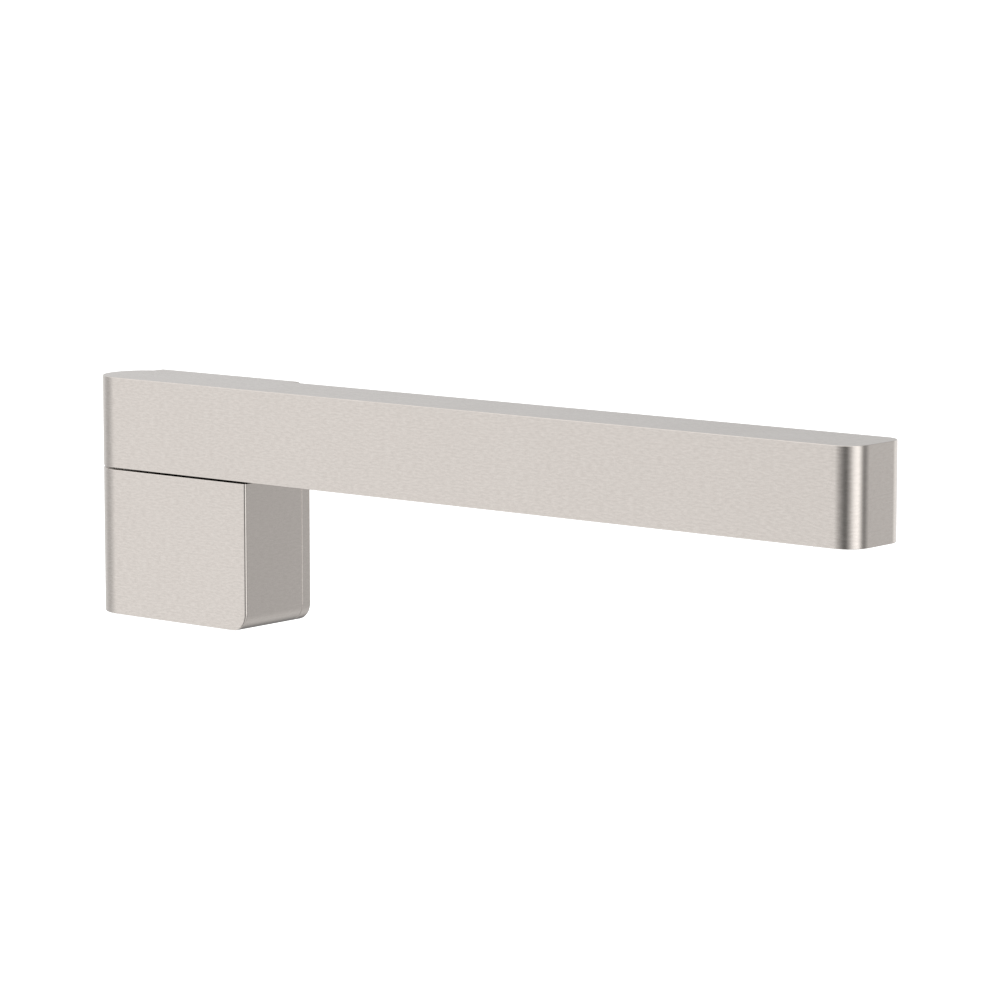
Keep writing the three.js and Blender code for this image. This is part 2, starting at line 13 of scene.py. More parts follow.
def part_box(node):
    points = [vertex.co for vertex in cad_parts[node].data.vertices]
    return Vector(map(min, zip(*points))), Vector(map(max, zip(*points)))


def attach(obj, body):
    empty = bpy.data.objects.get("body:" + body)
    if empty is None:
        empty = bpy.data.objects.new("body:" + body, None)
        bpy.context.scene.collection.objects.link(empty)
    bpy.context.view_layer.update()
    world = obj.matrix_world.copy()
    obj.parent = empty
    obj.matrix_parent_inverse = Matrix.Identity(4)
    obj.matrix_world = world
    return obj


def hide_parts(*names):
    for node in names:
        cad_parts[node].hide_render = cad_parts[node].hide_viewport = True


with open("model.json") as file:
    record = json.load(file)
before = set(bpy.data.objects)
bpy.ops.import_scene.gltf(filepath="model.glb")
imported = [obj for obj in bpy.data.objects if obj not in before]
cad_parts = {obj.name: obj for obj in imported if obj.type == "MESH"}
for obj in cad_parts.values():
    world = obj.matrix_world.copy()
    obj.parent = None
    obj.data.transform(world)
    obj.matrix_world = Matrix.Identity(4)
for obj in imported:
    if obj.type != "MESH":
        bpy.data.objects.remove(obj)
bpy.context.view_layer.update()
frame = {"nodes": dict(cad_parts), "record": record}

MM = 0.001

# ------------------------------------------------------------------ sizes taken from the frame


def middle(node):
    low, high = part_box(node)
    return (low + high) / 2


def half_width(node, axis="x"):
    low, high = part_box(node)
    return (getattr(high, axis) - getattr(low, axis)) / 2


def heights(node):
    low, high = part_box(node)
    return low.z, high.z


RECORD = frame["record"]
SLOT_OF = {part["node"]: part["material_slot"] for part in RECORD["subparts"]}
BODY_OF = {node: body for body, nodes in RECORD["behaviour"]["bodies"].items() for node in nodes}
PIVOT = Vector(RECORD["behaviour"]["joints"][0]["pos_m"])  # on the arm's underside
ARM_LO, ARM_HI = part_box("arm_shell")
BLOCK_LO, BLOCK_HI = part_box("body_block")
PLATE_LO, PLATE_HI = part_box("wall_plate")
COVER_LO, COVER_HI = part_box("arm_cover")
INLET = middle("inlet_sleeve")
OUTLET = middle("aerator_housing")
TUBE = middle("water_tube")

FIT = 0.1 * MM  # clearance on each side between pieces that touch
THROUGH = 1 * MM  # how far a cutting tool runs past the face that it cuts
END_R = (ARM_HI.y - ARM_LO.y) / 2  # half-round end shared by the arm and the body
TIP_R = 6 * MM  # vertical corners at the arm's free end
CORNER_R = 5 * MM  # corners of the plate and the body's lower right corner
WALL = COVER_HI.z - COVER_LO.z  # sheet thickness of the arm
ARM_RIM = 0.2 * MM  # round on the arm's top and bottom edges
PLATE_RIM = 0.22 * MM  # round on the plate's edges
BLOCK_RIM = 0.25 * MM  # round on the body's edges
BLOCK_FRONT_RIM = 0.65 * MM  # and on its front right edge

SPINDLE_R = 5.5 * MM
NECK_R = 4 * MM  # the spindle below its shoulder
WATER_R = 4 * MM  # the waterway along the arm
BORE_R = half_width("upper_bush") + FIT
COUNTERBORE_R = half_width("thrust_washer") + FIT
PLATE_SCREW = {"shank": 2 * MM, "head_depth": 2.2 * MM, "socket": 1.4 * MM, "pitch": 0.7 * MM}
COVER_SCREW = {"shank": 1.5 * MM, "head_depth": 1.2 * MM, "socket": 1 * MM, "pitch": 0.5 * MM}
COVER_SCREWS = ["cover_screw_1", "cover_screw_2", "cover_screw_3"]
PLATE_SCREWS = ["plate_screw_1", "plate_screw_2", "plate_screw_3", "plate_screw_4"]

ARC = 24  # steps in a quarter turn of an outline
TURN = 96  # steps round a turned piece
SCREW_TURN = 48  # and round a screw
ROWS = 8  # steps along one turn of a thread
TWIST = 0.37  # part of a step that turned cutters are rotated by, off the edges of what they cut


def mm(*points):
    return [tuple(value * MM for value in point) for point in points]


# ------------------------------------------------------------------ mesh tools

def new_object(name, mesh):
    piece = bpy.data.objects.new(name, mesh)
    bpy.context.scene.collection.objects.link(piece)
    return piece


def finish_mesh(name, bm, angle=32):
    """Outward faces, smooth shading, and sharp edges where the surface turns by more than the angle."""
    bmesh.ops.remove_doubles(bm, verts=bm.verts, dist=1e-7)
    bmesh.ops.recalc_face_normals(bm, faces=bm.faces)
    mesh = bpy.data.meshes.new(name)
    bm.to_mesh(mesh)
    bm.free()
    mesh.shade_smooth()
    mesh.set_sharp_from_angle(angle=math.radians(angle))
    return new_object(name, mesh)


def bridge(bm, rows):
    """Faces between neighbouring closed rows of equal length."""
    count = len(rows[0])
    for lower, upper in zip(rows, rows[1:]):
        for i in range(count):
            j = (i + 1) % count
            corners = dict.fromkeys((lower[i], lower[j], upper[j], upper[i]))
            if len(corners) > 2:
                bm.faces.new(list(corners))


def loft(name, loops):
    """A closed solid through loops of equal length, capped at both ends."""
    bm = bmesh.new()
    rows = [[bm.verts.new(point) for point in loop] for loop in loops]
    bridge(bm, rows)
    bm.faces.new(list(reversed(rows[0])))
    bm.faces.new(rows[-1])
    return finish_mesh(name, bm)


def hoop(name, loops):
    """A closed ring through loops of equal length: the last loop joins the first."""
    bm = bmesh.new()
    rows = [[bm.verts.new(point) for point in loop] for loop in loops]
    bridge(bm, rows + rows[:1])
    return finish_mesh(name, bm)


class Thread:
    """A helical thread cut into the part of a profile that lies at one radius."""

    def __init__(self, radius, low, high, pitch):
        self.radius = radius
        self.low = low
        self.high = high
        self.pitch = pitch
        self.depth = 0.55 * pitch

    def rows(self, profile):
        """The profile with enough rows along the thread."""
        points = profile[:1]
        for (r0, z0), (r1, z1) in zip(profile, profile[1:]):
            if abs(r0 - self.radius) + abs(r1 - self.radius) < 1e-6:
                steps = math.ceil(abs(z1 - z0) / self.pitch * ROWS)
                points += [(r0, z0 + (z1 - z0) * i / steps) for i in range(1, steps)]
            points.append((r1, z1))
        return points

    def cut_depth(self, r, z, angle):
        if abs(r - self.radius) > 1e-6 or not self.low < z < self.high:
            return 0.0
        phase = (z / self.pitch - angle / (2 * math.pi)) % 1
        wave = 1 - abs(2 * phase - 1)
        fade = min(1, (z - self.low) / self.pitch, (self.high - z) / self.pitch)
        return self.depth * fade * min(1, max(0, 1.25 * wave - 0.125))


def turned(name, profile, steps=TURN, thread=None, twist=0.0):
    """A solid turned about Z from (radius, height) points; a point on the axis has radius 0."""
    bm = bmesh.new()
    rings = []
    around = [2 * math.pi * (i + twist) / steps for i in range(steps)]
    for r, z in (thread.rows(profile) if thread else profile):
        if r == 0:
            rings.append([bm.verts.new((0, 0, z))] * steps)
            continue
        radii = [r - (thread.cut_depth(r, z, a) if thread else 0) for a in around]
        rings.append([bm.verts.new((s * math.cos(a), s * math.sin(a), z)) for s, a in zip(radii, around)])
    bridge(bm, rings + (rings[:1] if profile[0][0] else []))
    return finish_mesh(name, bm, 70 if thread else 32)


def washer(name, inner, outer, low, high, chamfer=0.15 * MM):
    return turned(name, [
        (inner, low + chamfer), (inner + chamfer, low), (outer - chamfer, low), (outer, low + chamfer),
        (outer, high - chamfer), (outer - chamfer, high), (inner + chamfer, high), (inner, high - chamfer),
    ])


def stepped(*points, steps=TURN):
    """A cutter turned about Z, flat at both ends."""
    return turned("stepped", [(0, points[0][1]), *points, (0, points[-1][1])], steps, twist=TWIST)


def drill(radius, low, high, flare_low=0.0, flare_high=0.0, steps=TURN):
    """A cutter along Z, widened by the flare where it leaves the metal THROUGH from either end."""
    points = [(radius, low), (radius, high)]
    if flare_low:
        points[:1] = [(radius + flare_low, low), (radius + flare_low, low + THROUGH),
                      (radius, low + THROUGH + flare_low)]
    if flare_high:
        points[-1:] = [(radius, high - THROUGH - flare_high), (radius + flare_high, high - THROUGH),
                       (radius + flare_high, high)]
    return stepped(*points, steps=steps)


def prism(sides, radius, low, high):
    """A cutter or blank with flat sides; the radius reaches its corners."""
    around = [2 * math.pi * i / sides for i in range(sides)]
    flat = [(radius * math.cos(a), radius * math.sin(a)) for a in around]
    return loft("prism", [in_plan(flat, low), in_plan(flat, high)])


def brick(low, high):
    flat = [(low[0], low[1]), (high[0], low[1]), (high[0], high[1]), (low[0], high[1])]
    return loft("brick", [in_plan(flat, low[2]), in_plan(flat, high[2])])


def bake(piece):
    """Applies the piece's modifiers to its mesh."""
    graph = bpy.context.evaluated_depsgraph_get()
    mesh = bpy.data.meshes.new_from_object(piece.evaluated_get(graph))
    piece.modifiers.clear()
    piece.data = mesh
    return piece


def cut(piece, *tools, operation="DIFFERENCE"):
    """Takes the tools out of the piece, or keeps only what they share, and deletes them."""
    for tool in tools:
        modifier = piece.modifiers.new("cut", "BOOLEAN")
        modifier.operation = operation
        modifier.solver = "EXACT"
        modifier.object = tool
    bake(piece)
    for tool in tools:
        bpy.data.objects.remove(tool, do_unlink=True)
    return piece


def crisp(piece, angle=32):
    """Even shading on the flats once the piece has its final mesh."""
    piece.data.shade_smooth()
    piece.data.set_sharp_from_angle(angle=math.radians(angle))
    weighted = piece.modifiers.new("even_normals", "WEIGHTED_NORMAL")
    weighted.keep_sharp = True
    weighted.weight = 100
    return piece


def soften(piece, width, segments=3):
    """Rounds the piece's hard edges."""
    bevel = piece.modifiers.new("soften", "BEVEL")
    bevel.width = width
    bevel.segments = segments
    bevel.limit_method = "ANGLE"
    bevel.angle_limit = math.radians(40)
    bevel.miter_outer = "MITER_ARC"
    return bake(piece)


UPWARDS = Matrix.Identity(4)
FROM_WALL = Matrix.Rotation(math.radians(90), 4, "X")  # a tool's +Z becomes -Y, out of the wall
ALONG_ARM = Matrix.Rotation(math.radians(90), 4, "Y")  # a tool's +Z becomes +X


def put(piece, x, y, z, turn=UPWARDS):
    piece.data.transform(Matrix.Translation((x, y, z)) @ turn)
    return piece


def spin(piece, degrees):
    """Turns the piece about Z before it is put in its place."""
    return put(piece, 0, 0, 0, Matrix.Rotation(math.radians(degrees), 4, "Z"))


def on_pivot(piece):
    return put(piece, PIVOT.x, PIVOT.y, 0)


def on_inlet(piece):
    return put(piece, INLET.x, 0, INLET.z, FROM_WALL)


def on_outlet(piece):
    return put(piece, OUTLET.x, OUTLET.y, 0)


# ------------------------------------------------------------------ outlines

def arc(cx, cy, r, start, end, steps=ARC):
    """Points on an arc, in degrees, both ends included."""
    turn = [math.radians(start + (end - start) * i / steps) for i in range(steps + 1)]
    return [(cx + r * math.cos(a), cy + r * math.sin(a)) for a in turn]


def bar_outline(inset):
    """The arm in plan: half-round at the pivot, rounded corners at the tip."""
    half = END_R - inset
    corner = TIP_R - inset
    end = ARM_HI.x - TIP_R
    return (
        arc(PIVOT.x, PIVOT.y, half, 90, 270, 2 * ARC)
        + arc(end, PIVOT.y - END_R + TIP_R, corner, -90, 0)
        + arc(end, PIVOT.y + END_R - TIP_R, corner, 0, 90)
    )


def plate_outline(inset):
    """The wall plate from the front, as (x, z)."""
    points = []
    corner = CORNER_R - inset
    corners = [(PLATE_HI.x, PLATE_HI.z, 0), (PLATE_LO.x, PLATE_HI.z, 90),
               (PLATE_LO.x, PLATE_LO.z, 180), (PLATE_HI.x, PLATE_LO.z, 270)]
    for x, z, start in corners:
        cx = x - math.copysign(CORNER_R, x)
        cz = z - math.copysign(CORNER_R, z)
        points += arc(cx, cz, corner, start, start + 90)
    return points


def in_plan(points, z):
    return [(x, y, z) for x, y in points]


def from_front(points, y):
    return [(x, y, z) for x, z in points]


def rounded_ends(outline, place, low, high, rim, steps=5):
    """Loops for a prism whose two end edges are rounded."""
    loops = []
    for end, inward in ((low, 1), (high, -1)):
        ramp = [math.radians(90 * i / steps) for i in range(steps + 1)]
        rows = [place(outline(rim * (1 - math.sin(a))), end + inward * rim * (1 - math.cos(a)))
                for a in ramp]
        loops += rows if inward > 0 else rows[::-1]
    return loops


# ------------------------------------------------------------------ node helpers

class Nodes:
    """A material's or world's node tree, with short calls to add and join nodes."""

    def __init__(self, tree):
        self.tree = tree
        tree.nodes.clear()

    def add(self, kind, inputs=None, **settings):
        node = self.tree.nodes.new(kind)
        for key, value in settings.items():
            setattr(node, key, value)
        for key, value in (inputs or {}).items():
            self.put(node, key, value)
        return node

    def put(self, node, key, value):
        if isinstance(value, bpy.types.NodeSocket):
            self.tree.links.new(value, node.inputs[key])
        else:
            node.inputs[key].default_value = value

    def math(self, operation, one, other=0.0):
        return self.add("ShaderNodeMath", {0: one, 1: other}, operation=operation).outputs[0]

    def span(self, value, low, high, to_low=0.0, to_high=1.0):
        node = self.add("ShaderNodeMapRange", {0: value, 1: low, 2: high, 3: to_low, 4: to_high})
        node.interpolation_type = "SMOOTHSTEP"
        return node.outputs[0]

    def blend(self, factor, one, other):
        node = self.add("ShaderNodeMix", {0: factor}, data_type="RGBA")
        self.put(node, 6, one)
        self.put(node, 7, other)
        return node.outputs[2]

    def vector(self, x, y, z):
        return self.add("ShaderNodeCombineXYZ", {0: x, 1: y, 2: z}).outputs[0]

    def noise(self, where, scale, detail=3.0, roughness=0.5):
        return self.add("ShaderNodeTexNoise", {"Vector": where, "Scale": scale, "Detail": detail,
                                               "Roughness": roughness}).outputs[0]

    def edges(self, radius):
        """1 along convex and concave edges, fading to 0 on flats."""
        rounded = self.add("ShaderNodeBevel", {"Radius": radius}, samples=4).outputs[0]
        true = self.add("ShaderNodeNewGeometry").outputs["Normal"]
        dot = self.add("ShaderNodeVectorMath", {0: rounded, 1: true}, operation="DOT_PRODUCT")
        return self.span(dot.outputs["Value"], 0.995, 0.85)


def shader(name, **sockets):
    """A new material with a Principled shader; returns the material, its nodes and the shader."""
    material = bpy.data.materials.new(name)
    material.use_nodes = True
    nodes = Nodes(material.node_tree)
    principled = nodes.add("ShaderNodeBsdfPrincipled")
    for key, value in sockets.items():
        principled.inputs[key.replace("_", " ")].default_value = value
    output = nodes.add("ShaderNodeOutputMaterial")
    nodes.tree.links.new(principled.outputs[0], output.inputs[0])
    return material, nodes, principled


def colour(r, g, b):
    return (r, g, b, 1.0)


# ------------------------------------------------------------------ materials

def brushed_nickel():
    """Warm satin nickel, brushed along the horizontal run of each face, polished a little at its edges and
    lightened along them by a painted highlight.
    """
    material, n, metal = shader("brushed_nickel", Metallic=1.0)
    where = n.add("ShaderNodeTexCoord")
    place = n.add("ShaderNodeSeparateXYZ", {0: where.outputs["Object"]})
    facing = n.add("ShaderNodeSeparateXYZ", {0: where.outputs["Normal"]})
    level = n.span(n.math("ABSOLUTE", facing.outputs["Z"]), 0.6, 0.8)
    sideways = n.span(n.math("ABSOLUTE", facing.outputs["X"]), 0.5, 0.95)

    def grain(along, across):
        across_y = n.math("ADD", along, n.math("MULTIPLY", level, across - along))
        at = n.vector(n.math("MULTIPLY", place.outputs["X"], along),
                      n.math("MULTIPLY", place.outputs["Y"], across_y),
                      n.math("MULTIPLY", place.outputs["Z"], across))
        return n.noise(at, 1.0, 2.0, 0.6)

    fine = grain(30.0, 5200.0)
    coarse = grain(540.0, 2150.0)
    cloud = n.noise(where.outputs["Object"], 45.0, 2.0)
    # edge mask: along the edges it lowers the roughness as a real polish and lightens the colour as a
    # painted highlight
    edge_wear_and_highlight = n.edges(0.5 * MM)
    streak = n.blend(0.85, n.span(fine, 0.3, 0.7), n.span(coarse, 0.28, 0.72))
    depth = n.math("ADD", n.span(sideways, 0.0, 1.0, 1.0, 0.48), n.math("MULTIPLY", level, 1.7))
    streak = n.math("ADD", n.math("MULTIPLY", n.math("SUBTRACT", streak, 0.5), depth), 0.5)
    tone = n.blend(streak, colour(0.618, 0.573, 0.536), colour(0.706, 0.659, 0.619))
    # painted highlight: along the edges the base colour is lightened towards (0.70, 0.655, 0.615), which
    # brightens their reflection
    n.put(metal, "Base Color", n.blend(n.math("MULTIPLY", edge_wear_and_highlight, 0.35), tone, colour(0.70, 0.655, 0.615)))
    rough = n.math("ADD", n.span(fine, 0.25, 0.75, 0.16, 0.24), n.span(cloud, 0.3, 0.7, -0.012, 0.012))
    n.put(metal, "Roughness", n.math("SUBTRACT", rough, n.math("MULTIPLY", edge_wear_and_highlight, 0.04)))
    bump = n.add("ShaderNodeBump", {"Strength": 0.06, "Distance": 0.02 * MM, "Height": fine})
    n.put(metal, "Normal", bump.outputs[0])
    return material


def machined(name, light, dark, rough_low, rough_high):
    """Turned metal: tool marks, a little staining, and brighter worn edges."""
    material, n, metal = shader(name, Metallic=1.0)
    where = n.add("ShaderNodeTexCoord")
    marks = n.noise(where.outputs["Object"], 900.0)
    stain = n.noise(where.outputs["Object"], 120.0, 4.0)
    tone = n.blend(n.span(stain, 0.3, 0.7), dark, light)
    edge_wear_and_highlight = n.edges(0.25 * MM)
    bare = colour(*[1.15 * value for value in light[:3]])
    n.put(metal, "Base Color", n.blend(n.math("MULTIPLY", edge_wear_and_highlight, 0.5), tone, bare))
    n.put(metal, "Roughness", n.span(marks, 0.3, 0.7, rough_low, rough_high))
    bump = n.add("ShaderNodeBump", {"Strength": 0.1, "Distance": 0.02 * MM, "Height": marks})
    n.put(metal, "Normal", bump.outputs[0])
    return material


def moulded(name, light, dark, rough_low, rough_high, grain_scale):
    """Rubber or plastic with a fine moulded grain, rubbed smoother at its edges."""
    material, n, skin = shader(name, Specular_IOR_Level=0.4)
    where = n.add("ShaderNodeTexCoord")
    grain = n.noise(where.outputs["Object"], grain_scale, 4.0)
    cloud = n.noise(where.outputs["Object"], 150.0, 2.0)
    n.put(skin, "Base Color", n.blend(n.span(cloud, 0.3, 0.7), dark, light))
    rough = n.span(grain, 0.3, 0.7, rough_low, rough_high)
    n.put(skin, "Roughness", n.math("SUBTRACT", rough, n.math("MULTIPLY", n.edges(0.25 * MM), 0.08)))
    bump = n.add("ShaderNodeBump", {"Strength": 0.15, "Distance": 0.03 * MM, "Height": grain})
    n.put(skin, "Normal", bump.outputs[0])
    return material


MATERIALS = {
    "brushed_nickel": brushed_nickel(),
    "plain_brass": machined("plain_brass", colour(0.72, 0.55, 0.26), colour(0.60, 0.43, 0.18), 0.22, 0.38),
    "stainless_steel": machined(
        "stainless_steel", colour(0.62, 0.61, 0.59), colour(0.50, 0.49, 0.47), 0.2, 0.34),
    "black_rubber": moulded(
        "black_rubber", colour(0.03, 0.03, 0.03), colour(0.018, 0.018, 0.018), 0.6, 0.8, 2500),
    "white_acetal": moulded(
        "white_acetal", colour(0.80, 0.79, 0.75), colour(0.74, 0.73, 0.69), 0.35, 0.5, 1800),
    "grey_plastic": moulded(
        "grey_plastic", colour(0.20, 0.21, 0.22), colour(0.16, 0.17, 0.18), 0.35, 0.5, 1800),
}


def dress(piece, node):
    """The piece stands for a node: it takes the node's name, finish and body."""
    finish = SLOT_OF[node]
    piece.name = f"{node}_fine"
    piece.data.name = piece.name
    piece.data.materials.clear()
    piece.data.materials.append(MATERIALS[finish])
    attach(piece, BODY_OF[node])
    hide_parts(node)
    return piece


# ------------------------------------------------------------------ fasteners

def countersunk_screw(node, turn, screw, depth_axis):
    """A countersunk socket screw with a rolled thread; its head's flat face is at its local z = 0."""
    low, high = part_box(node)
    length = getattr(high, depth_axis) - getattr(low, depth_axis)
    head = half_width(node)
    shank, head_depth, pitch = screw["shank"], screw["head_depth"], screw["pitch"]
    tip = 0.4 * shank
    profile = [(0, 0), (head - FIT, 0), (head, FIT), (head, 2 * FIT), (shank, head_depth),
               (shank, length - tip), (shank - tip, length), (0, length)]
    piece = turned(node, profile, SCREW_TURN, Thread(shank, head_depth + pitch, length - tip, pitch))
    socket = prism(6, screw["socket"], -THROUGH, 0.8 * head_depth)
    lead_in = 1.15 * screw["socket"]
    cone = turned("cone", [(0, -THROUGH), (lead_in + THROUGH, -THROUGH), (0, lead_in)], SCREW_TURN)
    cut(piece, socket, cone)
    centre = middle(node)
    if turn is FROM_WALL:
        return put(piece, centre.x, high.y, centre.z, turn)
    return put(piece, centre.x, centre.y, low.z, turn)


def countersink(node, screw, sheet):
    """The tool for its hole, through a sheet whose outer face is at the tool's z = 0."""
    outer = half_width(node) + 0.5 * FIT
    inner = screw["shank"] + 2 * FIT
    return turned("countersink", [
        (0, -THROUGH), (outer, -THROUGH), (outer, 4 * FIT), (inner, screw["head_depth"] + 2 * FIT),
        (inner, sheet + THROUGH), (0, sheet + THROUGH),
    ])


def build_screws():
    for node in PLATE_SCREWS:
        dress(countersunk_screw(node, FROM_WALL, PLATE_SCREW, "y"), node)
    for node in COVER_SCREWS:
        dress(countersunk_screw(node, UPWARDS, COVER_SCREW, "z"), node)


GRUB_R = half_width("grub_screw")


def build_grub_screw():
    low, high = heights("grub_screw")
    length = high - low
    chamfer, point, pitch = 0.4 * MM, 1 * MM, 0.8 * MM
    socket_r, socket_depth = 1.44 * MM, 2.5 * MM
    cup = length - 0.3 * point
    profile = [(0, 0), (GRUB_R - chamfer, 0), (GRUB_R, chamfer), (GRUB_R, length - point),
               (GRUB_R - point, length), (GRUB_R - 1.4 * point, cup), (0, cup)]
    screw = turned("grub", profile, SCREW_TURN, Thread(GRUB_R, chamfer, length - point, pitch))
    cut(screw, prism(6, socket_r, -THROUGH, socket_depth))
    centre = middle("grub_screw")
    dress(put(screw, centre.x, centre.y, low), "grub_screw")


# ------------------------------------------------------------------ the wall plate and its gasket

def build_plate():
    plate = loft("plate", rounded_ends(plate_outline, from_front, PLATE_LO.y, PLATE_HI.y, PLATE_RIM))
    inset, width, depth = 1.5 * MM, 1.95 * MM, 1.2 * MM
    ditch = [(inset, THROUGH), (inset + width, THROUGH), (inset + width, -depth), (inset, -depth)]
    groove = hoop("groove", [from_front(plate_outline(i), y) for i, y in ditch])
    sheet = PLATE_HI.y - PLATE_LO.y
    hole = drill(half_width("inlet_sleeve") + 2 * FIT, -THROUGH, sheet + THROUGH, 0.2 * MM, 0.2 * MM)
    tools = [groove, on_inlet(hole)]
    for node in PLATE_SCREWS:
        at = middle(node)
        tools.append(put(countersink(node, PLATE_SCREW, sheet), at.x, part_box(node)[1].y, at.z, FROM_WALL))
    dress(crisp(cut(plate, *tools)), "wall_plate")


def build_gasket():
    """A bead with a domed face towards the wall, run round inside the plate's groove."""
    low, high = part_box("wall_gasket")
    inset = low.x - PLATE_LO.x
    width = 1.8 * MM
    dome = 0.5 * MM
    profile = [(inset, low.y), (inset + width, low.y)]
    for i in range(9):
        a = math.pi * i / 8
        profile.append((inset + width / 2 * (1 + math.cos(a)), high.y - dome + dome * math.sin(a)))
    dress(hoop("gasket", [from_front(plate_outline(i), y) for i, y in profile]), "wall_gasket")


# ------------------------------------------------------------------ the fixed body

def block_blank():
    """The body before its holes: half-round left end, rounded lower right corner, softened edges."""
    def plan(inset):
        right, front, back = BLOCK_HI.x + THROUGH, BLOCK_LO.y + inset, BLOCK_HI.y - inset
        return arc(PIVOT.x, PIVOT.y, END_R - inset, 90, 270, 2 * ARC) + [(right, front), (right, back)]

    def face(sideways, drop):
        """The outline from the front, each point moved inwards by its own share of the rim."""
        cx, cz = BLOCK_HI.x - CORNER_R, BLOCK_LO.z + CORNER_R
        left, top = BLOCK_LO.x - THROUGH, BLOCK_HI.z
        turns = [math.radians(-90 + 90 * i / ARC) for i in range(ARC + 1)]
        rims = [drop + (sideways - drop) * max(0, 1 + math.sin(t)) ** 0.5 for t in turns]
        corner = [(cx + (CORNER_R - r) * math.cos(t), cz + (CORNER_R - r) * math.sin(t), r)
                  for t, r in zip(turns, rims)]
        return [(left, BLOCK_LO.z + drop, drop), *corner, (BLOCK_HI.x - sideways, top + THROUGH, sideways),
                (left, top + THROUGH, drop)]

    front = []
    for i in range(7):
        a = math.radians(15 * i)
        inset, depth = 1 - math.sin(a), 1 - math.cos(a)
        rows = face(BLOCK_FRONT_RIM * inset, BLOCK_RIM * inset)
        flat = face(BLOCK_FRONT_RIM, BLOCK_RIM)
        front.append([(x, BLOCK_LO.y + rim * depth, z) for (x, z, _), (_, _, rim) in zip(rows, flat)])
    back = []
    for i in range(6, -1, -2):
        a = math.radians(15 * i)
        rows = face(BLOCK_RIM * (1 - math.sin(a)), BLOCK_RIM * (1 - math.sin(a)))
        back.append([(x, BLOCK_HI.y - BLOCK_RIM * (1 - math.cos(a)), z) for x, z, _ in rows])
    upright = loft("block", rounded_ends(plan, in_plan, BLOCK_LO.z, BLOCK_HI.z, BLOCK_RIM))
    return cut(upright, loft("face", front + back), operation="INTERSECT")


CAVITY_R = 8 * MM
CAVITY_DEPTH = 22.2 * MM
DUCT = 4.2 * MM  # its depth, at the far end of the cavity
SCREW_DEPTH = 12 * MM  # of the plate's screw holes, from the wall


def build_block():
    sleeve_back = -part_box("inlet_sleeve")[0].y + FIT
    strainer_back = 18.4 * MM
    top, step = BLOCK_HI.z, heights("lower_bush")[0] - 2 * FIT
    recess = heights("thrust_washer")[0] - FIT
    face = -BLOCK_HI.y
    pin = middle("stop_pin")
    sleeve_r, strainer_r = half_width("inlet_sleeve") + FIT, half_width("inlet_strainer") + 4 * FIT
    edge, lip, bottom = 0.2 * MM, 0.15 * MM, BLOCK_LO.z
    duct_depth = CAVITY_DEPTH - FIT
    tools = [
        on_pivot(stepped(
            (COUNTERBORE_R + edge, bottom - THROUGH), (COUNTERBORE_R + edge, bottom),
            (COUNTERBORE_R, bottom + edge), (COUNTERBORE_R, step), (BORE_R, step), (BORE_R, recess),
            (COUNTERBORE_R, recess), (COUNTERBORE_R, top - lip), (COUNTERBORE_R + lip, top),
            (COUNTERBORE_R + lip, top + THROUGH))),
        on_inlet(stepped(
            (sleeve_r + edge, face - THROUGH), (sleeve_r + edge, face), (sleeve_r, face + edge),
            (sleeve_r, sleeve_back), (strainer_r, sleeve_back), (strainer_r, strainer_back),
            (CAVITY_R, strainer_back), (CAVITY_R, CAVITY_DEPTH))),
        brick((PIVOT.x, -duct_depth, INLET.z - 4 * MM), (INLET.x, DUCT - duct_depth, INLET.z + 4 * MM)),
        put(drill(GRUB_R + FIT, bottom - THROUGH, INLET.z - 10 * MM, edge),
            INLET.x, middle("grub_screw").y, 0),
        put(drill(half_width("stop_pin") + FIT, 0, BLOCK_HI.y + THROUGH - PIVOT.y),
            pin.x, BLOCK_HI.y + THROUGH, pin.z, FROM_WALL),
    ]
    for node in PLATE_SCREWS:
        at = middle(node)
        hole = drill(PLATE_SCREW["shank"] + FIT, face - THROUGH, SCREW_DEPTH, edge)
        tools.append(put(hole, at.x, 0, at.z, FROM_WALL))
    dress(crisp(cut(block_blank(), *tools)), "body_block")


def build_stop_pin():
    low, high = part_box("stop_pin")
    r, length, chamfer = half_width("stop_pin"), high.y - low.y, 0.25 * MM
    pin = turned("pin", [(0, 0), (r - chamfer, 0), (r, chamfer), (r, length - chamfer),
                         (r - chamfer, length), (0, length)])
    centre = middle("stop_pin")
    dress(put(pin, centre.x, high.y, centre.z, FROM_WALL), "stop_pin")


# ------------------------------------------------------------------ the supply inlet

def build_sleeve():
    sleeve_r, bore, groove, half, chamfer = 12.5, 10.6, 11.9, 1.1, 0.5
    seals = [-middle(f"inlet_oring_{i}").y / MM for i in (2, 1)]
    grooves = []
    for seal in seals:
        grooves += [(bore, seal + half + 0.1), (bore + 0.1, seal + half), (groove, seal + half),
                    (groove, seal - half), (bore + 0.1, seal - half), (bore, seal - half - 0.1)]
    sleeve = turned("sleeve", mm(
        (bore + chamfer, 0.2), (sleeve_r - 0.2, 0.2), (sleeve_r, 0.4), (sleeve_r, 16.7),
        (sleeve_r - 0.3, 17), (9.3, 17), (9, 16.7), (9, 16.2), (9.1, 16.1), (bore, 16.1), *grooves,
        (bore, 0.2 + 1.5 * chamfer)))
    centre = middle("grub_screw")
    hole = put(drill(GRUB_R + FIT, INLET.z - 14 * MM, INLET.z - 8 * MM), centre.x, centre.y, 0)
    dress(crisp(cut(on_inlet(sleeve), hole)), "inlet_sleeve")


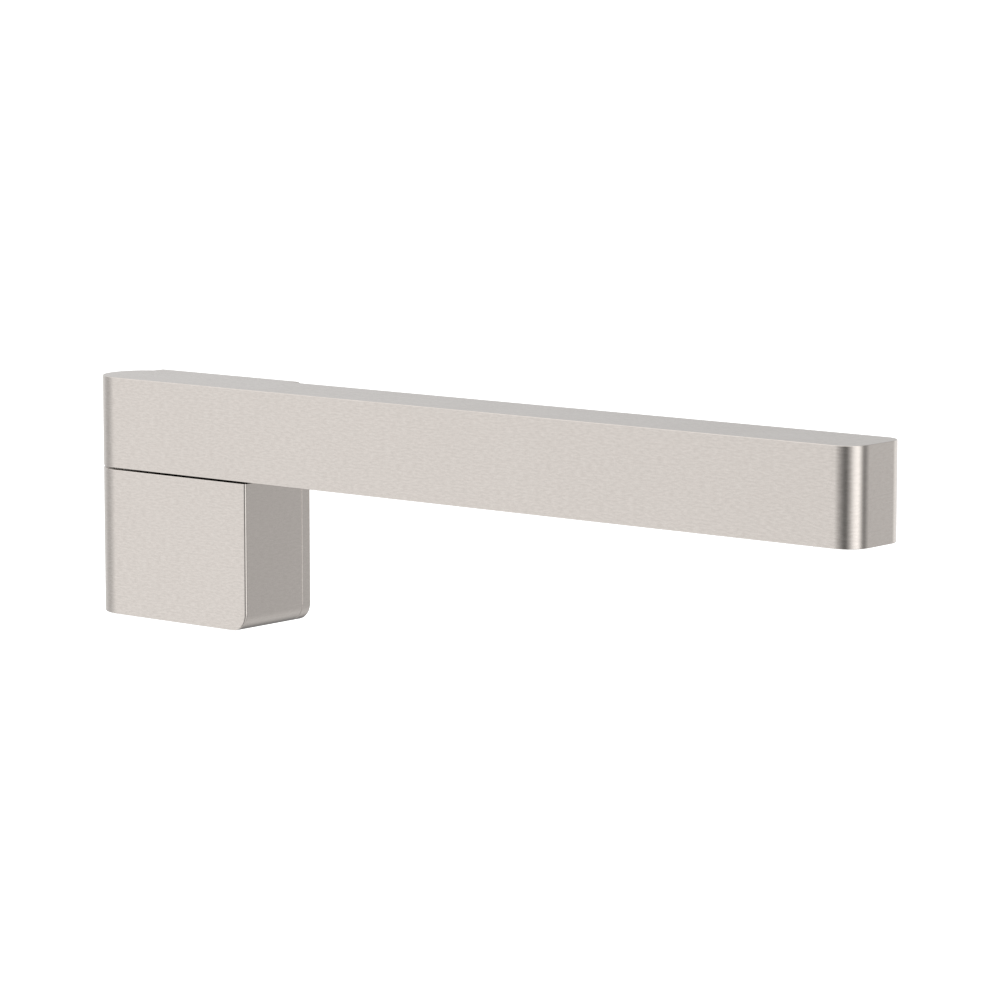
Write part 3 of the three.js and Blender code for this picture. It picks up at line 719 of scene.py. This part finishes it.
def build_strainer():
    """A pressed disc with a rolled edge, pierced in two rings round a middle hole."""
    low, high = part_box("inlet_strainer")
    r, thick = half_width("inlet_strainer"), high.y - low.y
    inner, edge, hole_r = 0.91 * r, 0.93 * r, 1.1 * MM
    disc = turned("disc", [
        (0, 0.1 * thick), (inner, 0.1 * thick), (edge, 0), (r - 0.1 * MM, 0), (r, 0.15 * thick),
        (r, 0.85 * thick), (r - 0.1 * MM, thick), (edge, thick), (inner, 0.9 * thick), (0, 0.9 * thick)])
    tools = []
    for count, ring in ((1, 0), (5, 3.4 * MM), (10, 6.8 * MM)):
        for i in range(count):
            a = 2 * math.pi * i / count
            hole = drill(hole_r, -THROUGH, thick + THROUGH, steps=32)
            tools.append(put(hole, ring * math.cos(a), ring * math.sin(a), 0))
    cut(disc, *tools)
    dress(crisp(put(disc, INLET.x, high.y, INLET.z, FROM_WALL)), "inlet_strainer")


# ------------------------------------------------------------------ O-rings

def build_o_rings():
    """Round rings with the fine flash line of their mould; in the frame their section has six sides."""
    steps, flash = 24, 0.03 * MM
    rings = [("inlet_oring_1", FROM_WALL, "y", "x"), ("inlet_oring_2", FROM_WALL, "y", "x"),
             ("cap_oring", UPWARDS, "z", "x"), ("spindle_oring_1", UPWARDS, "z", "x"),
             ("spindle_oring_2", UPWARDS, "z", "x"), ("tube_oring_1", ALONG_ARM, "x", "y"),
             ("tube_oring_2", ALONG_ARM, "x", "y")]
    for node, turn, axis, across in rings:
        section = half_width(node, axis) / math.cos(math.radians(30))
        mean = half_width(node, across) - section
        profile = []
        for i in range(steps):
            a = 2 * math.pi * i / steps
            r = section - (flash if i % (steps // 2) else 0)
            profile.append((mean + r * math.cos(a), r * math.sin(a)))
        at = middle(node)
        dress(put(turned("o_ring", profile), at.x, at.y, at.z, turn), node)


# ------------------------------------------------------------------ the swivel, fixed side

def build_bearings():
    inner = SPINDLE_R + FIT
    low, high = heights("thrust_washer")
    thrust = on_pivot(washer("thrust", inner, half_width("thrust_washer"), low, high, 0.08 * MM))
    grooves = []
    for i in range(3):
        bar = brick((-10 * MM, -0.4 * MM, high - 0.12 * MM), (10 * MM, 0.4 * MM, high + THROUGH))
        grooves.append(on_pivot(spin(bar, 60 * i)))
    dress(crisp(cut(thrust, *grooves)), "thrust_washer")
    for node in ("upper_bush", "lower_bush"):
        low, high = heights(node)
        bush = washer("bush", inner, half_width(node), low, high, 0.25 * MM)
        slit = brick((0, -0.2 * MM, low - THROUGH), (9 * MM, 0.2 * MM, high + THROUGH))
        dress(crisp(on_pivot(cut(bush, slit))), node)
    low, high = heights("retaining_washer")
    retainer = washer("retainer", NECK_R + FIT, half_width("retaining_washer"), low, high)
    dress(on_pivot(retainer), "retaining_washer")


def build_bottom_cap():
    low, high = heights("bottom_cap")
    seal_low, seal_high = heights("cap_oring")
    r = half_width("bottom_cap")
    groove, chamfer, socket_r, lead_in = r - 1 * MM, 0.25 * MM, 3.4 * MM, 0.4 * MM
    cap = turned("cap", [
        (0, low), (r - chamfer, low), (r, low + chamfer), (r, seal_low - FIT), (groove, seal_low - FIT),
        (groove, seal_high + FIT), (r, seal_high + FIT), (r, high - chamfer), (r - chamfer, high),
        (0, high)])
    socket = prism(6, socket_r, low - THROUGH, low + 1.2 * MM)
    mouth = turned("mouth", [(0, low - THROUGH), (socket_r + THROUGH, low - THROUGH),
                             (socket_r - lead_in, low + lead_in), (0, low + lead_in)])
    dress(crisp(on_pivot(cut(cap, socket, mouth))), "bottom_cap")


# ------------------------------------------------------------------ the swivel, turning side

def build_spindle():
    base, top = heights("swivel_spindle")
    r, groove, bore, thread_r = SPINDLE_R, 5 * MM, 3.9 * MM, 5 * MM
    shoulder, chamber = base + 5.8 * MM, INLET.z
    half, chamfer = 1.1 * MM, 0.4 * MM
    grooves = []
    for node in ("spindle_oring_2", "spindle_oring_1"):
        z = middle(node).z
        grooves += [(r, z - half - FIT), (r - FIT, z - half), (groove, z - half), (groove, z + half),
                    (r - FIT, z + half), (r, z + half + FIT)]
    flange = half_width("swivel_spindle")
    under, over = ARM_LO.z, COVER_HI.z
    profile = [
        (0, base), (NECK_R - chamfer, base), (NECK_R, base + chamfer), (NECK_R, shoulder),
        (r - 0.5 * chamfer, shoulder), (r, shoulder + 0.5 * chamfer), *grooves,
        (r, under), (flange - 0.2 * MM, under), (flange, under + 0.2 * MM), (flange, over - 0.2 * MM),
        (flange - 0.2 * MM, over), (thread_r, over), (thread_r, top - chamfer), (thread_r - chamfer, top),
        (bore + 0.3 * MM, top), (bore, top - 0.3 * MM), (bore, chamber - 2.6 * MM),
        (0, chamber - 4.2 * MM)]
    spindle = turned("spindle", profile, thread=Thread(thread_r, over + 0.6 * MM, top - chamfer, 1 * MM))
    reach = r + THROUGH
    ports = [put(drill(2 * MM, -reach, reach, THROUGH / 4, THROUGH / 4, 48), 0, 0, chamber,
                 Matrix.Rotation(turn, 4, "Z") @ ALONG_ARM) for turn in (0, math.pi / 2)]
    dress(crisp(on_pivot(cut(spindle, *ports)), 60), "swivel_spindle")


def build_stop_plate():
    """A disc whose wide lug meets the stop pin at either end of the half turn."""
    low, high = heights("stop_plate")
    pin_reach = half_width("stop_plate", "y") - 1.4 * MM
    half = 90 - math.degrees(math.asin(half_width("stop_pin") / pin_reach)) - 0.6
    hub, lug = 6 * MM, 8.2 * MM

    def outline(inset):
        round_hub = arc(0, 0, hub - inset, half, 360 - half, 2 * ARC)
        return round_hub + arc(0, 0, lug - inset, -half, half, 2 * ARC)

    plate = loft("stop", rounded_ends(outline, in_plan, low, high, 0.15 * MM, 2))
    cut(plate, drill(NECK_R + FIT, low - THROUGH, high + THROUGH, 0.15 * MM, 0.15 * MM))
    dress(crisp(on_pivot(plate)), "stop_plate")


def build_nut():
    low, high = heights("spindle_nut")
    r, slope = 5.8 * MM, 0.45 * MM
    blank = spin(prism(6, r, low, high), 30)
    flat = r * math.cos(math.radians(30))
    crown = turned("crown", [(0, low), (flat, low), (r + FIT, low + slope), (r + FIT, high - slope),
                             (flat, high), (0, high)])
    cut(blank, crown, operation="INTERSECT")
    cut(blank, drill(NECK_R + FIT, low - THROUGH, high + THROUGH, 0.35 * MM, 0.35 * MM))
    dress(crisp(on_pivot(blank)), "spindle_nut")


# ------------------------------------------------------------------ the arm

def build_arm():
    shell = loft("shell", rounded_ends(bar_outline, in_plan, ARM_LO.z, ARM_HI.z, ARM_RIM))
    roof, mouth = ARM_HI.z - WALL, 0.2 * MM
    hollow = loft("hollow", [
        in_plan(bar_outline(WALL - mouth), ARM_LO.z - THROUGH),
        in_plan(bar_outline(WALL - mouth), ARM_LO.z),
        in_plan(bar_outline(WALL), ARM_LO.z + mouth),
        in_plan(bar_outline(WALL), roof)])
    dress(crisp(cut(shell, hollow)), "arm_shell")


def build_cover():
    def outline(inset):
        return bar_outline(WALL + FIT + inset)

    cover = loft("cover", rounded_ends(outline, in_plan, COVER_LO.z, COVER_HI.z, 0.2 * MM, 3))
    low, high = COVER_LO.z - THROUGH, COVER_HI.z + THROUGH
    tools = [on_pivot(drill(half_width("swivel_spindle") + 2 * FIT, low, high, 0.2 * MM)),
             on_outlet(drill(half_width("aerator_housing") + 3 * FIT, low, high, 0.3 * MM))]
    for node in COVER_SCREWS:
        at = middle(node)
        tools.append(put(countersink(node, COVER_SCREW, WALL), at.x, at.y, COVER_LO.z))
    dress(crisp(cut(cover, *tools)), "arm_cover")


# ------------------------------------------------------------------ the waterway inside the arm

def screw_hole(node):
    at = middle(node)
    tip = heights(node)[1] + 0.4 * MM
    return put(drill(COVER_SCREW["shank"] + FIT, COVER_HI.z - THROUGH, tip), at.x, at.y, 0)


def across_tube(tool, x):
    return put(tool, x, TUBE.y, TUBE.z, ALONG_ARM)


def waterway(face, inwards, seal, length):
    """A cutter for the waterway, the tube's socket at its mouth and the groove of the tube's O-ring."""
    tube_r, groove_r = half_width("water_tube", "y") + FIT, half_width(seal, "y") + FIT
    seat, depth, flare, half = abs(middle(seal).x - face), 7.9 * MM, 0.3 * MM, 0.7 * MM
    points = [(tube_r + flare, -THROUGH), (tube_r + flare, 0), (tube_r, flare), (tube_r, seat - half),
              (groove_r, seat - half), (groove_r, seat + half), (tube_r, seat + half), (tube_r, depth),
              (WATER_R, depth), (WATER_R, length)]
    return across_tube(stepped(*[(r, inwards * along) for r, along in points]), face)


def rounded_block(low, high):
    return soften(brick(low, high), 0.3 * MM)


def build_pivot_block():
    low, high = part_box("pivot_block")
    half = (high.y - low.y) / 2
    outline = arc(PIVOT.x, PIVOT.y, half, 90, 270, 2 * ARC) + [(high.x, low.y), (high.x, high.y)]
    block = soften(loft("pivot", [in_plan(outline, low.z), in_plan(outline, high.z)]), 0.3 * MM)
    tools = [on_pivot(drill(5 * MM + FIT, low.z - THROUGH, TUBE.z + WATER_R, 0.3 * MM)),
             waterway(high.x, -1, "tube_oring_1", high.x - PIVOT.x), screw_hole("cover_screw_1")]
    dress(crisp(cut(block, *tools)), "pivot_block")


def build_saddle():
    low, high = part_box("tube_saddle")
    tube_r = half_width("water_tube", "y") + FIT
    tunnel = across_tube(drill(tube_r, -THROUGH, high.x - low.x + THROUGH, 0.2 * MM, 0.2 * MM), low.x)
    dress(crisp(cut(rounded_block(low, high), tunnel, screw_hole("cover_screw_2"))), "tube_saddle")


def build_outlet_block():
    low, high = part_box("outlet_block")
    seat = heights("aerator_washer")[1] + FIT
    housing_r, well_r, edge = half_width("aerator_housing") + FIT, 6.5 * MM, 0.3 * MM
    well = stepped((housing_r + edge, low.z - THROUGH), (housing_r + edge, low.z),
                   (housing_r, low.z + edge), (housing_r, seat), (well_r, seat),
                   (well_r, TUBE.z + WATER_R + THROUGH))
    tools = [on_outlet(well), waterway(low.x, 1, "tube_oring_2", OUTLET.x - low.x),
             screw_hole("cover_screw_3")]
    dress(crisp(cut(rounded_block(low, high), *tools)), "outlet_block")


def build_water_tube():
    low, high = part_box("water_tube")
    tube = washer("tube", WATER_R, half_width("water_tube", "y"), 0, high.x - low.x, 0.3 * MM)
    dress(put(tube, low.x, TUBE.y, TUBE.z, ALONG_ARM), "water_tube")


# ------------------------------------------------------------------ the aerator

def build_aerator():
    low, top = heights("aerator_housing")
    thread_r, bore, lip = half_width("aerator_housing"), 6.9 * MM, 6.2 * MM
    shelf, chamfer = low + 1.2 * MM, 0.3 * MM
    housing = turned("housing", [
        (lip, low + chamfer), (lip + chamfer, low), (thread_r - chamfer, low), (thread_r, low + chamfer),
        (thread_r, top - chamfer), (thread_r - chamfer, top), (bore + chamfer, top), (bore, top - chamfer),
        (bore, shelf), (lip, shelf)], thread=Thread(thread_r, low + 1.4 * MM, top - chamfer, 1 * MM))
    notch_low, notch_high = (-10 * MM, -0.9 * MM, low - THROUGH), (10 * MM, 0.9 * MM, low + 0.7 * MM)
    notches = [spin(brick(notch_low, notch_high), degrees) for degrees in (0, 90)]
    dress(crisp(on_outlet(cut(housing, *notches)), 60), "aerator_housing")

    low, high = heights("aerator_insert")
    pitch, rings, cell_r = 2.3 * MM, 2, 1.12 * MM
    insert = washer("insert", 0, half_width("aerator_insert"), low, high, 0.2 * MM)
    cells = []
    for row in range(-rings, rings + 1):
        count = 2 * rings + 1 - abs(row)
        for i in range(count):
            x, y = (i - (count - 1) / 2) * pitch, row * pitch * math.sqrt(3) / 2
            cell = spin(prism(6, cell_r, low - THROUGH, high + THROUGH), 30)
            cells.append(put(cell, x, y, 0))
    dress(crisp(on_outlet(cut(insert, *cells))), "aerator_insert")

    low, high = heights("aerator_washer")
    seal = washer("seal", 5.6 * MM, half_width("aerator_washer"), low, high, 0.25 * MM)
    dress(on_outlet(seal), "aerator_washer")


for build in (build_screws, build_grub_screw, build_plate, build_gasket, build_block, build_stop_pin,
              build_sleeve, build_strainer, build_o_rings, build_bearings, build_bottom_cap, build_spindle,
              build_stop_plate, build_nut, build_arm, build_cover, build_pivot_block, build_saddle,
              build_outlet_block, build_water_tube, build_aerator):
    build()

for node, thing in frame["nodes"].items():
    thing.data.materials.clear()
    thing.data.materials.append(MATERIALS[SLOT_OF[node]])


# ------------------------------------------------------------------ camera, light and floor

def add_camera():
    """A long lens from the front right, a little above, aimed at a point on the arm's front face."""
    azimuth, pitch = math.radians(39.54), math.radians(7.717)
    distance = 1069.8 * MM
    aim = Vector((ARM_LO.x + 148.073 * MM, ARM_LO.y, ARM_HI.z - 22.084 * MM))
    level = math.cos(pitch)
    back = Vector((math.sin(azimuth) * level, -math.cos(azimuth) * level, math.sin(pitch)))
    facing = back.to_track_quat("Z", "Y").to_matrix().to_4x4()
    data = bpy.data.cameras.new("camera")
    data.lens = 151.38
    data.sensor_width = 36.0
    data.clip_start = 10 * MM
    data.clip_end = 100.0
    camera = bpy.data.objects.new("camera", data)
    camera.matrix_world = Matrix.Translation(aim + back * distance) @ facing
    bpy.context.scene.collection.objects.link(camera)
    bpy.context.scene.camera = camera


# Brightness of the studio: (degrees from the front towards +X, brightness) round the horizon, and
# round the dome well below and above it.
HORIZON = [
    (-180, 1.06), (-163, 0.95), (-150, 0.69), (-137, 0.71), (-122, 0.83), (-112, 0.86), (-102, 0.79),
    (-92, 0.67), (-84, 0.59), (-76, 0.58), (-68, 0.66), (-60, 0.81), (-50, 1.03), (-40, 1.02),
    (-29, 0.9), (-16, 0.64), (0, 0.39), (12, 0.23), (24, 0.18), (33, 0.35), (47, 0.79), (60, 1.29),
    (70, 1.5), (80, 1.58), (90, 1.15), (102, 0.53), (114, 0.3), (126, 0.43), (137, 0.59), (147, 0.7),
    (160, 1.05), (180, 1.06)]
BELOW = [(-180, 0.6), (-171, 0.51), (-162, 0.37), (-152, 0.29), (-142, 0.22), (-130, 0.26), (-110, 0.45),
         (-85, 0.85), (-43, 1.14), (0, 0.5), (30, 0.3), (75, 1.0), (112, 0.35), (130, 0.5), (149, 0.64),
         (163, 0.69), (180, 0.6)]
ABOVE = [(-180, 0.5), (-140, 0.6), (-85, 1.2), (-55, 1.35), (-20, 1.35), (40, 1.1), (80, 1.25), (115, 0.6),
         (150, 0.45), (180, 0.5)]
PEAK = 2.0  # the ramps hold brightness as a share of this


def add_world():
    """A studio dome: soft panels round the horizon, a bright ceiling, and plain white behind it all."""
    world = bpy.data.worlds.new("studio")
    world.use_nodes = True
    bpy.context.scene.world = world
    n = Nodes(world.node_tree)
    where = n.add("ShaderNodeTexCoord")
    way = n.add("ShaderNodeSeparateXYZ", {0: where.outputs["Generated"]})
    azimuth = n.math("ARCTAN2", way.outputs["X"], n.math("MULTIPLY", way.outputs["Y"], -1.0))
    share = n.math("ADD", n.math("DIVIDE", azimuth, 2 * math.pi), 0.5)

    def ring(stops):
        node = n.add("ShaderNodeValToRGB", {0: share})
        ramp = node.color_ramp
        ramp.interpolation = "CARDINAL"
        while len(ramp.elements) > 1:
            ramp.elements.remove(ramp.elements[-1])
        for i, (degrees, bright) in enumerate(stops):
            at = degrees / 360 + 0.5
            stop = ramp.elements[0] if i == 0 else ramp.elements.new(at)
            stop.position = at
            stop.color = colour(*[bright / PEAK] * 3)
        return node.outputs[0]

    height = way.outputs["Z"]
    low_part = n.blend(n.span(height, -0.36, -0.11), ring(BELOW), ring(HORIZON))
    middle_part = n.blend(n.span(height, 0.2, 0.55), low_part, ring(ABOVE))
    dome = n.blend(n.span(height, 0.75, 0.95), middle_part, colour(*[1.1 / PEAK] * 3))
    lit = n.add("ShaderNodeVectorMath", {0: dome}, operation="SCALE")
    n.put(lit, "Scale", PEAK)
    sight = n.add("ShaderNodeLightPath")
    seen = n.blend(sight.outputs["Is Camera Ray"], lit.outputs[0], colour(1.0, 1.0, 1.0))
    back = n.add("ShaderNodeBackground", {0: seen, 1: 1.0})
    out = n.add("ShaderNodeOutputWorld")
    n.tree.links.new(back.outputs[0], out.inputs[0])


def add_floor():
    """A white floor, far enough below the outlet to leave room for a look at its underside."""
    drop, reach = 1.3, 150.0
    bm = bmesh.new()
    bmesh.ops.create_circle(bm, cap_ends=True, radius=reach, segments=64)
    floor = finish_mesh("floor", bm)
    floor.location.z = BLOCK_LO.z - drop
    material, n, skin = shader("floor_white", Roughness=0.9)
    where = n.add("ShaderNodeTexCoord")
    haze = n.noise(where.outputs["Object"], 3.0)
    n.put(skin, "Base Color", n.blend(haze, colour(0.86, 0.86, 0.86), colour(0.88, 0.88, 0.88)))
    skin.inputs["Emission Color"].default_value = colour(1.0, 1.0, 1.0)
    skin.inputs["Emission Strength"].default_value = 0.6
    floor.data.materials.append(material)
    floor.visible_glossy = False


add_camera()
add_world()
add_floor()
bpy.context.scene.view_settings.view_transform = "Standard"
